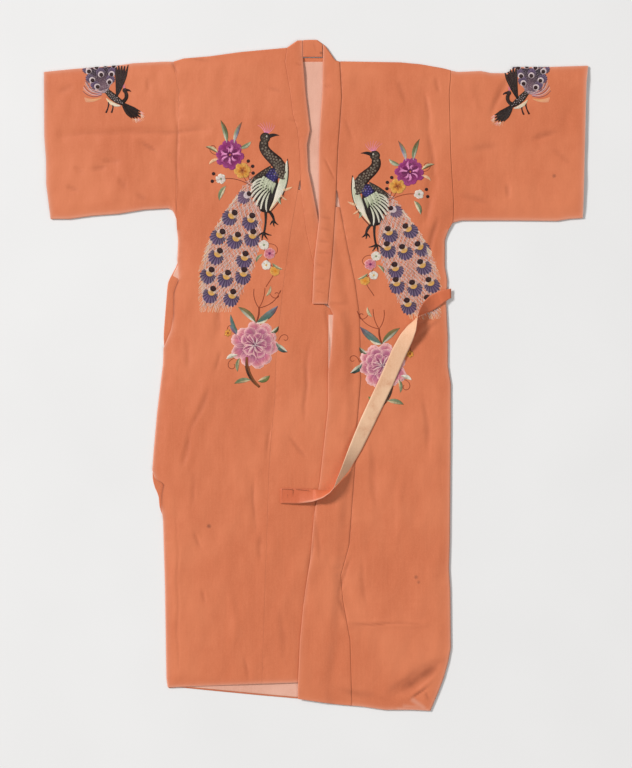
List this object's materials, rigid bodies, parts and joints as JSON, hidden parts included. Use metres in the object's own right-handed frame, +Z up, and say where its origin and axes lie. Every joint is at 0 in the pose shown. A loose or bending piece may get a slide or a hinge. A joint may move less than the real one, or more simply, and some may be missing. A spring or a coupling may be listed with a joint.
{
  "type": "wedding kimono",
  "caption": "Lined silk wedding kimono laid flat, front up, with short square sleeves, a collar band, embroidered birds and flowers, and a narrow sewn-on belt.",
  "frame": {"origin": "centre of the bounding box at the surface that the garment lies on", "axes": "+Z up off the surface, +Y towards the neck, +X towards the wearer's left sleeve"},
  "size_m": [1.116, 1.3763, 0.027],
  "materials": {
    "coral_silk": "plain-woven coral silk with a soft sheen",
    "pink_lining": "thin pale pink lining silk",
    "tan_silk": "pale tan silk, the belt's reverse"
  },
  "bodies": {
    "root": {"back": "coral_silk", "back_lining": "pink_lining", "front_right": "coral_silk", "okumi_right": "coral_silk", "collar_right": "coral_silk", "front_left": "coral_silk", "okumi_left": "coral_silk", "okumi_left_lining": "pink_lining", "collar_left": "coral_silk", "collar_back": "coral_silk", "sleeve_right": "coral_silk", "sleeve_left": "coral_silk", "belt_wrap": "coral_silk", "belt_run": "tan_silk", "belt_tip": "coral_silk"}
  },
  "joints": []
}
